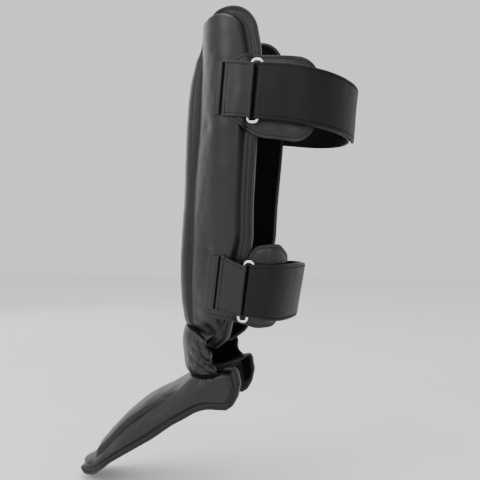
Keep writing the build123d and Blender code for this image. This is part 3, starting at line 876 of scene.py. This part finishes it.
def tab_strip_and_gap_shade(strap):
    """The narrow strip sewn along the front of the tab's underlay, with its row of pale stitches; the dark
    sheet behind it is painted shade.
    """
    line = [(strap["ring"] + 3, y) for y in np.linspace(strap["strip"], strap["start"] + 8.6, 14)]
    across = (HALF - 1.5) * (2 * graded(50, 0.6) - 1)
    across = across + strap["rise"] * (1.5 + across / (2 * HALF))
    grid = onto_pad(strap_grid(strap, line, across), 2.3)
    piece = Piece(f"{strap['name']}_tab_strip_and_gap_shade")
    n, half = sheet(piece, grid, 1.3, LEATHER, (1, 0, 0))
    sew(piece, grid, n, half, (8, slice(2, -2)), material=PALE_THREAD, pitch=3.4, length=2.2)
    # Painted shade: a thin dark sheet in the lining's finish fills the gap between the strip and the tab,
    # where the gap's shadow falls.
    line = [(strap["ring"] + 1, y) for y in np.linspace(strap["start"] + 8.4, strap["tab"] + 1, 5)]
    grid = onto_pad(strap_grid(strap, line, across), 1.45)
    piece.slab(grid + [0.15, 0, 0], grid - [0.15, 0, 0], LINING_AND_GAP_SHADE)
    obj = piece.make()
    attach(obj, "shin")


def band(strap):
    """The strap from its root on the far side, round the calf, to the back of the ring."""
    middle, wide = bend_size(strap)
    name = strap["name"]
    near_leg = [(middle + wide, y) for y in np.linspace(strap["rear"] + 3, strap["back"], 16)]
    far_leg = [(middle - wide, y) for y in np.linspace(strap["back"], strap["far_end"], 36)]
    round_calf = arc((middle, strap["back"]), wide, strap["deep"], 0, 180, 90)
    line = np.concatenate([near_leg[:-1], round_calf, far_leg[1:]])
    grid = strap_grid(strap, line, ACROSS)
    laid = onto_pad(grid, 1.3)
    far_side = (line[:, 0] < middle)[:, None, None]
    grid = np.where(far_side, laid, grid)
    piece = Piece(f"{name}_strap_band")
    lift = 0.25 * ripple(np.arange(len(line))[:, None] * 2.0, ACROSS[None], 61, low=0.004, high=0.02)
    n, half = sheet(piece, grid, STRAP_THICK, STRAP, (0, 1, 0), relief=lift, pinch=0.3)
    sewn = slice(6, len(line) - 30)
    for side in (-1, 1):
        for face in (n, -n):
            sew(piece, grid, face, half, (sewn, nearest(ACROSS, side * SEWN_ROW)), sink=0.2)
    obj = piece.make()
    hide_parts(f"{name}_strap_band")
    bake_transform(obj)


def tail(strap):
    """The strap's end: round the ring's rear bar and back over the band."""
    middle, wide = bend_size(strap)
    name, x, bar = strap["name"], strap["ring"], strap["rear"]
    off = WIRE + PLAY + STRAP_THICK / 2
    outer = wide + 2 * off
    line = np.concatenate([
        [(x - off, y) for y in np.linspace(bar + 4.4, bar, 8)[:-1]],
        arc((x, bar), off, off, 180, 360, 26),
        [(x + off, y) for y in np.linspace(bar, strap["back"], 26)[1:-1]],
        arc((middle, strap["back"]), outer, strap["deep"] + TAIL_LIFT, 0, 110, 84),
    ])
    length = distance_along(line)
    left = length[-1] - length
    width = ACROSS[None] * (1 - 0.10 * (1 - np.sqrt(np.clip(left / 10, 0, 1)))[:, None])
    grid = strap_grid(strap, line, width)
    piece = Piece(f"{name}_strap_tail")
    lift = 0.22 * ripple(length[:, None], ACROSS[None], 71 + len(name), low=0.004, high=0.02)
    lift = lift + 0.1 * ripple(length[:, None], ACROSS[None], 73, low=0.03, high=0.08)
    n, half = sheet(piece, grid, STRAP_THICK, STRAP, (0, 1, 0), relief=lift, pinch=0.32)
    sewn = slice(21, len(line) - 3)
    for side in (-1, 1):
        sew(piece, grid, n, half, (sewn, nearest(ACROSS, side * SEWN_ROW)), sink=0.2)
    sew(piece, grid, n, half, (len(line) - 4, slice(4, -4)))
    obj = piece.make()
    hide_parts(f"{name}_strap_fold", f"{name}_strap_tail")
    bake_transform(obj)


def grip_patch(strap, name, out, lift, span, body):
    """A hook or loop patch on a strap's face, with a short pile."""
    middle, wide = bend_size(strap)
    line = arc((middle, strap["back"]), wide + out, strap["deep"] + lift, *span, 90)
    across = (HALF - 3) * (2 * graded(60, 0.5) - 1)
    grid = strap_grid(strap, line, across)
    draw = np.random.default_rng(len(name))
    piece = Piece(f"{strap['name']}_{name}")
    sheet(piece, grid, 1.0, LOOP, (0, 1, 0), relief=draw.uniform(-0.12, 0.2, grid.shape[:2]))
    obj = piece.make()
    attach(obj, body)
    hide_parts(f"{strap['name']}_{name}")


def root_patch(strap):
    """The patch that sews the strap's root to the far side."""
    middle, wide = bend_size(strap)
    out = STRAP_THICK / 2 + 0.8
    line = [(middle - wide - out, y) for y in np.linspace(strap["far_end"] + 30, strap["far_end"] - 4, 44)]
    across = (HALF + 3) * (2 * graded(56, 0.6) - 1)
    grid = onto_pad(strap_grid(strap, line, across), 2.9)
    piece = Piece(f"{strap['name']}_root_patch")
    n, half = sheet(piece, grid, 1.4, LEATHER, (-1, 0, 0), pinch=0.2, pinch_at=2.6)
    for side in (-1, 1):
        sew(piece, grid, n, half, (slice(3, -3), nearest(across, side * (HALF - 0.2))), sink=0.1)
    for r in (3, 12, len(line) - 4):
        sew(piece, grid, n, half, (r, slice(4, -4)), sink=0.1)
    obj = piece.make()
    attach(obj, "shin")
    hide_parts(f"{strap['name']}_root_patch")


for strap in (UPPER, LOWER):
    name = strap["name"]
    tongue(strap)
    tab(strap)
    tab_strip_and_gap_shade(strap)
    band(strap)
    tail(strap)
    grip_patch(strap, "loop_patch", 1.7, 1.7, (38, 104), "shin")
    grip_patch(strap, "hook_patch", 4.5, TAIL_LIFT - 1.7, (52, 107), f"{name}_strap_tail")
    root_patch(strap)
    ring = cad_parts[f"{name}_ring"]
    ring.data.materials.clear()
    ring.data.materials.append(METAL)
    ring.data.shade_smooth()

# ----------------------------------------------------- ankle block and instep

# Places along the instep are (distance behind the leg's axis, height), or half widths in place of heights.
CREST_LINE = [
    (-222, -280), (-216, -273.5), (-203, -265.5), (-190, -257), (-179, -245), (-166, -230.5), (-150, -214),
    (-125, -193.5), (-105, -179.5), (-85, -166.5), (-76, -159.5), (-50, -136), (-20, -115), (10, -89),
]
HALF_WIDTH = [
    (-222, 31), (-205, 35), (-190, 37.5), (-166, 41), (-136, 46), (-105, 49), (-75, 50), (-40, 50.5),
    (10, 50),
]
RISE = 38
# The far wing's rear end curls forward and up by these.
CURL = 6.5
LIFT = 4.0
INSTEP_TOP = [
    (-66, -150.8), (-60, -149.5), (-52, -147.5), (-42, -145), (-30, -142), (-21, -139.5), (-14, -138.5),
]
INSTEP_REAR = [(-14, -138.5), (-7, -139.5), (-2, -144), (1, -157), (-2, -172), (-8, -183), (-15, -188)]
INSTEP_LOW = [
    (-15, -188), (-26, -188.5), (-38, -188.5), (-52, -193.5), (-66, -202.5), (-80, -210), (-90, -217.5),
    (-105, -228.5), (-142, -251.5), (-177, -273.5), (-190, -279.5), (-198, -282),
]
INSTEP_TOE = [(-222, -280.2), (-220, -279.5), (-214, -279.3), (-206, -281.8), (-198, -282)]
INSTEP_RIDGE = [(-196, 22), (-180, 28), (-166, 32), (-140, 36), (-110, 38.5), (-86, 39)]
# Distances out from the instep's middle face, which its sizes are measured on
INSTEP_MIDDLE = -3
INSTEP_BACK = -9.3
LINING_FACES = (-9.4, -10.6)
STRIP_FACES = (-10.5, -11.8)
BINDING_AT = -5
# The binding's section: (distance in from the instep's edge, distance out)
INSTEP_BINDING = (
    (4.3, -5.6), (4.1, -4.7), (2.6, -4.35), (1.0, -4.5), (0.1, -5.4), (-0.2, -7.6), (0.1, -9.9), (1.0, -10.9),
    (2.6, -11.1), (4.1, -10.9), (4.3, -10.0),
)


def instep_section(y):
    return curve(y, HALF_WIDTH), curve(y, CREST_LINE) - RISE


def instep_at(q, y, out):
    """The point at arc length q across from the instep's crest, distance y along it, and distance out."""
    q, y, out = np.broadcast_arrays(np.asarray(q, float), np.asarray(y, float), np.asarray(out, float))
    shape = q.shape
    q, y, out = q.ravel(), y.ravel(), out.ravel()
    y = y - CURL * smooth(-q, 50, 85) * smooth(y, -45, -5)
    wide, middle = instep_section(y)
    turn, past = turn_at(np.abs(q), wide, np.full_like(wide, RISE))
    x = (wide + out) * np.sin(turn) * np.sign(q)
    z = middle + (RISE + out) * np.cos(turn) - past
    z = z + LIFT * smooth(-q, 50, 85) * smooth(y, -50, -16)
    lean = 0.55 * out * np.cos(turn)
    return np.stack([x, y - lean, z - 0.15 * lean], 1).reshape(*shape, 3)


def across_from_crest(line):
    """Side-view places (y, z) as (arc length from the crest, y)."""
    line = resample(np.asarray(line, float), 160)
    y, z = line.T
    wide, middle = instep_section(y)
    turn = np.arccos(np.clip((z - middle) / RISE, 0, 1))
    return np.stack([length_at(turn, wide, np.full_like(wide, RISE)) + np.maximum(middle - z, 0), y], 1)


def smooth_line(line, passes=10):
    line = np.asarray(line, float).copy()
    for _ in range(passes):
        line[1:-1] = (line[:-2] + 2 * line[1:-1] + line[2:]) / 4
    return line


TOP_RUN = smooth_line(across_from_crest(INSTEP_TOP), 25)
REAR_RUN = smooth_line(across_from_crest(INSTEP_REAR), 12)
LOW_RUN = smooth_line(across_from_crest(INSTEP_LOW), 25)
TOE_RUN = smooth_line(across_from_crest(INSTEP_TOE), 12)
TOP_RUN[0, 0], TOE_RUN[0, 0] = 0, 0
SIDE_RUN = np.concatenate([REAR_RUN, LOW_RUN[1:]])
HALF_OUTLINE = np.concatenate([TOP_RUN, SIDE_RUN[1:], TOE_RUN[::-1][1:]])


def space_distance(grid, line):
    """The distance of each grid point to a line in space."""
    flat = grid.reshape(-1, 3)
    best = np.full(len(flat), 1e9)
    for a, b in zip(line[:-1], line[1:]):
        step = b - a
        t = np.clip(((flat - a) @ step) / max(step @ step, 1e-9), 0, 1)
        best = np.minimum(best, np.linalg.norm(flat - a - t[:, None] * step, axis=1))
    return best.reshape(grid.shape[:2])


def ridge_half(y):
    return curve(y, INSTEP_RIDGE)


def instep_face(q, y, reach, tuck):
    """How far the instep's outer face stands out, from its places and their distances in from the free edge
    and from the edge under the ankle block."""
    a = np.abs(q)
    near_side = smooth(q, 10, 25)
    body = -5 + 5 * smooth(reach, 4.2, 12.5) - 1.3 * bell(reach, 7.0, 1.5)
    body = body - 5.5 * (1 - smooth(tuck, 1, 12)) * smooth(a, 12, 40) - 2.6 * (1 - smooth(tuck, 0, 7))
    on = smooth(-y, 77, 84) * (0.25 + 0.75 * smooth(-y, 82, 122)) * (1 - smooth(-y, 183.5, 190))
    ridge = ridge_half(y)
    step = smooth(ridge - a, -1.4, 3.2)
    bar = (4.3 + 0.9 * (1 - (a / ridge) ** 2)) * step * on - 0.9 * bell(ridge - a, -1.2, 1.6) * on
    bar = bar - 0.5 * bell(-y, 83.0, 1.4) * step
    relief = 0.35 * ripple(q, y, 81, low=0.006, high=0.03) + 0.15 * ripple(q, y, 82, low=0.03, high=0.08)
    uneven = 0.5 + 0.5 * ripple(q, y, 83, low=0.02, high=0.05)
    bend = 2.2 * ripple(q, y, 84, low=0.01, high=0.03)
    pucker = 0.9 * np.sin(y * 0.55 + q * 0.35 + bend) * bell(y, -138, 19) * bell(a - ridge, 8, 8)
    pucker = pucker + 0.4 * np.sin(y * 0.4 - q * 0.6) * bell(y, -97, 10) * bell(a - ridge, 3, 7)
    pucker = (pucker + 0.7 * np.sin(y * 0.5 + q * 0.2) * bell(reach, 14, 5) * bell(y, -115, 35)) * uneven
    fold = 1.7 * bell(y - 0.22 * (a - 60), -40, 2.6) * (1 - smooth(a, 62, 78))
    fold = fold + 0.9 * bell(y, -31, 3.5) * bell(a, 60, 12)
    return body + (bar + relief * smooth(reach, 5, 12) + (pucker * near_side - fold) * smooth(reach, 7, 14))


def instep_grid(rows=150, cols=84):
    crest = np.stack([np.zeros(200), np.linspace(TOP_RUN[0, 1], TOE_RUN[0, 1], 200)], 1)
    half = patch(crest, SIDE_RUN, TOP_RUN, TOE_RUN, rows, cols, u=graded(cols, 0.45), v=graded(rows, 0.2))
    return np.concatenate([half[:, :0:-1] * [-1, 1], half], 1)


def edge_distances(middle):
    """How far points of the middle face are from the free edge, and from the edge under the ankle block."""
    free = np.concatenate([SIDE_RUN[1:], TOE_RUN[::-1][1:]])
    free = np.concatenate([free, free[::-1][1:] * [-1, 1]])
    edge = resample(instep_at(free[:, 0], free[:, 1], INSTEP_MIDDLE), 360)
    under = np.concatenate([TOP_RUN[::-1] * [-1, 1], TOP_RUN[1:]])
    under = resample(instep_at(under[:, 0], under[:, 1], INSTEP_MIDDLE), 120)
    return space_distance(middle, edge), space_distance(middle, under)


def sew_instep(piece, line, lift):
    """A row of stitches on the instep's outer face."""
    q, y = line.T
    reach, tuck = edge_distances(instep_at(q, y, INSTEP_MIDDLE)[None])
    face = instep_face(q, y, reach[0], tuck[0])
    here, beyond = instep_at(q, y, face + lift), instep_at(q, y, face + lift + 1)
    piece.stitches(here, beyond - here, THREAD)


def instep_pad(q, y):
    """The padded cover with its ridge, and its rows of stitches."""
    out = instep_face(q, y, *edge_distances(instep_at(q, y, INSTEP_MIDDLE)))
    piece = Piece("instep_pad")
    piece.slab(instep_at(q, y, out), instep_at(q, y, INSTEP_BACK), LEATHER)
    ys = np.linspace(-91, -188, 160)
    edge_run = SIDE_RUN[8:]
    inset_run = smooth_line(edge_run + turned_right(unit(np.gradient(edge_run, axis=0))) * 7.0, 8)
    for side in (1, -1):
        sew_instep(piece, np.stack([side * (ridge_half(ys) + 1.4), ys], 1), 0.0)
        sew_instep(piece, (inset_run * [side, 1])[6:-4], 0.0)
    rear_run = resample(REAR_RUN, 60)[14:52]
    for side in (1, -1):
        for inset in (6.5, 10.0):
            sew_instep(piece, rear_run * [side, 1] - [0, inset], 0.02)
    return piece.make(sharp=50)


def instep_lining(q, y):
    """The smooth lining, with the dark strip along each inner rear edge."""
    piece = Piece("instep_lining")
    piece.slab(instep_at(q, y, LINING_FACES[0]), instep_at(q, y, LINING_FACES[1]), GREY_LINING)
    run = resample(REAR_RUN, 50)[6:-16]
    for side in (1, -1):
        strip = run[:, None] * [side, 1] - np.linspace(3.0, 12.5, 8)[None, :, None] * [0, 1]
        outer, inner = (instep_at(strip[..., 0], strip[..., 1], face) for face in STRIP_FACES)
        piece.slab(outer, inner, STRIP)
    return piece.make()


def instep_binding():
    """The binding round the instep's edge."""
    outline = np.concatenate([HALF_OUTLINE[::-1] * [-1, 1], HALF_OUTLINE[1:]])
    outline = outline[apart(outline, 1e-3)]
    line = resample(outline, 460)
    line = line[:-1] if np.linalg.norm(line[0] - line[-1]) < 1e-6 else line
    base, beyond = (instep_at(line[:, 0], line[:, 1], out) for out in (BINDING_AT, BINDING_AT + 1))
    up = unit(beyond - base)
    ahead = unit(np.gradient(base, axis=0))
    for _ in range(3):
        ahead[1:-1] = unit(ahead[:-2] + 2 * ahead[1:-1] + ahead[2:])
    side = unit(np.cross(up, ahead))
    inside = instep_at(line[:, 0] * 0.9, line[:, 1] * 0.95 - 4, BINDING_AT)
    side = side * np.sign(np.einsum("ij,ij->i", side, inside - base).sum())
    rings = []
    for step, out in INSTEP_BINDING:
        rings.append(base + side * step + up * (out - BINDING_AT))
    piece = Piece("instep_edge_binding")
    piece.sweep(np.stack(rings, 1), BINDING)
    run = base + side * 2.7 + up * 0.62
    piece.stitches(run[3:-3], up[3:-3], THREAD)
    return piece.make()


# The ankle block's height, for its creases, and its edges as (degrees round from the front, height)
BLOCK_TALL = 46
BLOCK_TOP = [(-90, -110), (-75, -105.5), (-45, -100), (0, -97), (45, -100), (75, -105.5), (90, -110)]
BLOCK_LOW = [(-90, -148), (-72, -149), (-45, -151.5), (0, -158), (45, -151.5), (72, -149), (90, -148)]


def block_at(turn, v, out):
    """The ankle block's band: turn in degrees round from the front, v from its lower to its upper edge."""
    turn, v, out = np.broadcast_arrays(np.asarray(turn, float), np.asarray(v, float), np.asarray(out, float))
    low, top = curve(turn, BLOCK_LOW), curve(turn, BLOCK_TOP)
    z = low + (top - low) * v
    a = np.radians(turn)
    deep = 47.5 - 3.0 * (1 - v) ** 2
    side = 58.3 - 1.6 * (1 - v)
    rear = -30 + smooth(np.abs(turn), 58, 90) * (12 * (1 - v) - 6 + 1.6 * np.sin(13 * v))
    return np.stack([(side + out) * np.sin(a), rear - (deep + out) * np.cos(a), z], -1)


def ankle_block():
    """The padded block in front of the ankle, and the web inside it."""
    rows, cols = 64, 190
    v, turn = graded(rows, 0.75)[:, None], np.linspace(-90, 90, cols)[None]
    v, turn = np.broadcast_arrays(v, turn)
    edge = np.minimum(np.minimum(v, 1 - v) * BLOCK_TALL, (90 - np.abs(turn)) * 0.95)
    crown = 4.6 * np.sqrt(np.clip(1 - (1 - np.clip(edge / 16, 0, 1)) ** 2, 0, 1)) - 3.6
    along, z = turn * 0.95, v * BLOCK_TALL
    crown = crown - 2.4 * (1 - smooth(z, 0, 7))
    relief = 0.4 * ripple(along, z, 91, low=0.008, high=0.03)
    relief = relief + 0.18 * ripple(along, z, 92, low=0.03, high=0.09)
    rear = smooth(np.abs(turn), 50, 72)
    wrinkle = 2.4 * np.sin(z * 0.36 + along * 0.2 + 1.4 * np.sin(along * 0.1)) * rear
    wrinkle = wrinkle * (1 - smooth(z, 16, 36))
    gather = 0.7 * np.sin(along * 0.42 + 1.1 * np.sin(z * 0.21)) * (1 - smooth(z, 4, 20))
    gather = gather * smooth(np.abs(turn), 18, 50)
    seam = 1.5 * bell(np.abs(turn), 76, 1.5) + 0.8 * bell(np.abs(turn), 82, 1.2)
    out = crown + relief + wrinkle + gather - seam * smooth(z, 2, 8) * (1 - smooth(z, 38, 45))
    outer = block_at(turn, v, out)
    piece = Piece("ankle_block_pad")
    piece.slab(outer, block_at(turn, v, np.full(v.shape, -6.6)), SOFT_LEATHER)
    for at in (78.2, -78.2):
        run = outer[8:-8, nearest(turn[0], at)]
        ways = run * [1, 1, 0] - [0, -30, 0]
        piece.stitches(run, ways, THREAD)
    pad = piece.make(sharp=55)
    piece = Piece("ankle_web")
    v, turn = np.broadcast_arrays(np.linspace(-0.12, 1.02, 26)[:, None], np.linspace(-86, 86, 120)[None])
    wave = 0.35 * ripple(turn, v * BLOCK_TALL, 95, low=0.02, high=0.06)
    piece.slab(block_at(turn, v, -6.5 + wave), block_at(turn, v, -7.5 + wave), LINING_AND_GAP_SHADE)
    return pad, piece.make()


def bridge(name, upper, lower, slack, thick, waves, material, inner_material, seed):
    """A soft gusset between two lines, with folds along it."""
    t = np.linspace(0, 1, 16)[:, None, None]
    grid = upper[None] * (1 - t) + lower[None] * t
    n = normals(grid, np.array([0.0, -1, 0]))
    along = np.arange(len(upper))[None] / len(upper)
    folds = waves * ripple(along * 160, t[..., 0] * 22, seed, low=0.02, high=0.09)
    fold = np.sin(pi * t[..., 0]) * (slack + folds)
    piece = Piece(name)
    sheet(piece, grid + n * fold[..., None], thick, material, (0, -1, 0), inner_material=inner_material)
    return piece.make()


instep = np.moveaxis(instep_grid(), -1, 0)
pad, liner, binding = instep_pad(*instep), instep_lining(*instep), instep_binding()
for obj, nodes, finish in (
    (pad, ("instep_cover", "instep_foam", "instep_ridge_cover", "instep_ridge_foam"), "leather"),
    (liner, ("instep_lining",), "lining"), (binding, ("instep_edge_binding",), "binding"),
):
    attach(obj, "instep")
    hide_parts(*nodes)
block, web = ankle_block()
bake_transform(block)
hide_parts("ankle_block_cover", "ankle_block_foam")
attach(web, "ankle_block")
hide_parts("ankle_web")

turn = np.linspace(-84, 84, 120)
out = np.interp(np.abs(turn), [0, 60, 84], [15, 8, 6.5])
upper_line = wrap(np.interp(turn, [-90, 90], [-66, 66]), -101.0, out)
lower_line = block_at(turn, 0.86, -4.0)
fold = bridge("ankle_fold_gusset", upper_line, lower_line, 0.4, 1.2, 0.5, SOFT_LEATHER, LINING_AND_GAP_SHADE, 101)
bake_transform(fold)
upper_line = block_at(np.linspace(-88, 88, 120), 0.10, -3.6)
run = np.concatenate([TOP_RUN[::-1] * [-1, 1], TOP_RUN[1:]])
run = resample(run[12:-12], 120)
lower_line = instep_at(run[:, 0], run[:, 1], -5.0) - [0, 0, 2.5]
fold = bridge("instep_fold_gusset", upper_line, lower_line, -0.8, 1.4, 0.9, SOFT_LEATHER, LINING_AND_GAP_SHADE, 103)
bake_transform(fold)

SOLE_HALF = 39.5
RIB = 2.7
x, y = np.broadcast_arrays(np.linspace(-SOLE_HALF, SOLE_HALF, 60)[:, None], np.linspace(-60, -28, 44)[None])
rib = 0.22 * np.sin((y + 60) * 2 * pi / RIB)
band_grid = np.stack([x, y, -187.8 - 1.5 * (1 - (x / SOLE_HALF) ** 2)], -1)
piece = Piece("sole_strap")
sheet(piece, band_grid, 1.8, ELASTIC, (0, 0, 1), relief=rib)
obj = piece.make()
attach(obj, "instep")
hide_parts("sole_strap")

# ---------------------------------------------------------------------- stage

FLOOR = -0.2941
FLOOR_REACH = 4.0
LAMPS = (
    ("key", (1.8, -1.3, 1.3), 26, 1.6), ("fill", (2.2, 1.2, 0.7), 12, 1.4),
    ("top", (0.3, -0.2, 2.2), 22, 1.4), ("rim", (-1.2, -1.4, 0.6), 5, 1.2),
)
TOWARD_CAMERA, CAMERA_RIGHT = Vector((0.9613, 0.2756, 0)), Vector((-0.2756, 0.9613, 0))
CAMERA_DISTANCE, CAMERA_SHIFT = 0.708, -0.0117


def studio():
    """A pale floor, soft lamps and a camera level with the middle of the shin."""
    scene = bpy.context.scene
    world = bpy.data.worlds.new("studio")
    world.use_nodes = True
    world.node_tree.nodes["Background"].inputs["Color"].default_value = (1, 1, 1, 1)
    world.node_tree.nodes["Background"].inputs["Strength"].default_value = 1.0
    scene.world = world

    mesh = bpy.data.meshes.new("floor")
    corners = [(x * FLOOR_REACH, y * FLOOR_REACH, FLOOR) for x, y in ((-1, -1), (1, -1), (1, 1), (-1, 1))]
    mesh.from_pydata(corners, [], [(0, 1, 2, 3)])
    floor = bpy.data.objects.new("floor", mesh)
    scene.collection.objects.link(floor)
    pale = bpy.data.materials.new("pale_floor")
    pale.use_nodes = True
    shader = pale.node_tree.nodes["Principled BSDF"]
    shader.inputs["Roughness"].default_value = 0.7
    speckle = node(pale.node_tree, "ShaderNodeTexNoise", Scale=60.0, Detail=4.0)
    tint = node(pale.node_tree, "ShaderNodeValToRGB")
    tint.color_ramp.elements[0].color = (0.86, 0.86, 0.86, 1)
    tint.color_ramp.elements[1].color = (0.9, 0.9, 0.9, 1)
    pale.node_tree.links.new(speckle.outputs["Fac"], tint.inputs["Fac"])
    pale.node_tree.links.new(tint.outputs["Color"], shader.inputs["Base Color"])
    mesh.materials.append(pale)

    for name, place, power, size in LAMPS:
        lamp = bpy.data.lights.new(name, "AREA")
        lamp.energy, lamp.size = power, size
        holder = bpy.data.objects.new(name, lamp)
        holder.location = place
        holder.rotation_euler = (-Vector(place)).to_track_quat("-Z", "Y").to_euler()
        scene.collection.objects.link(holder)

    camera = bpy.data.cameras.new("camera")
    camera.lens, camera.sensor_width = 45.5, 36
    holder = bpy.data.objects.new("camera", camera)
    holder.location = TOWARD_CAMERA * CAMERA_DISTANCE + CAMERA_RIGHT * CAMERA_SHIFT
    holder.rotation_euler = TOWARD_CAMERA.to_track_quat("Z", "Y").to_euler()
    scene.collection.objects.link(holder)
    scene.camera = holder


studio()
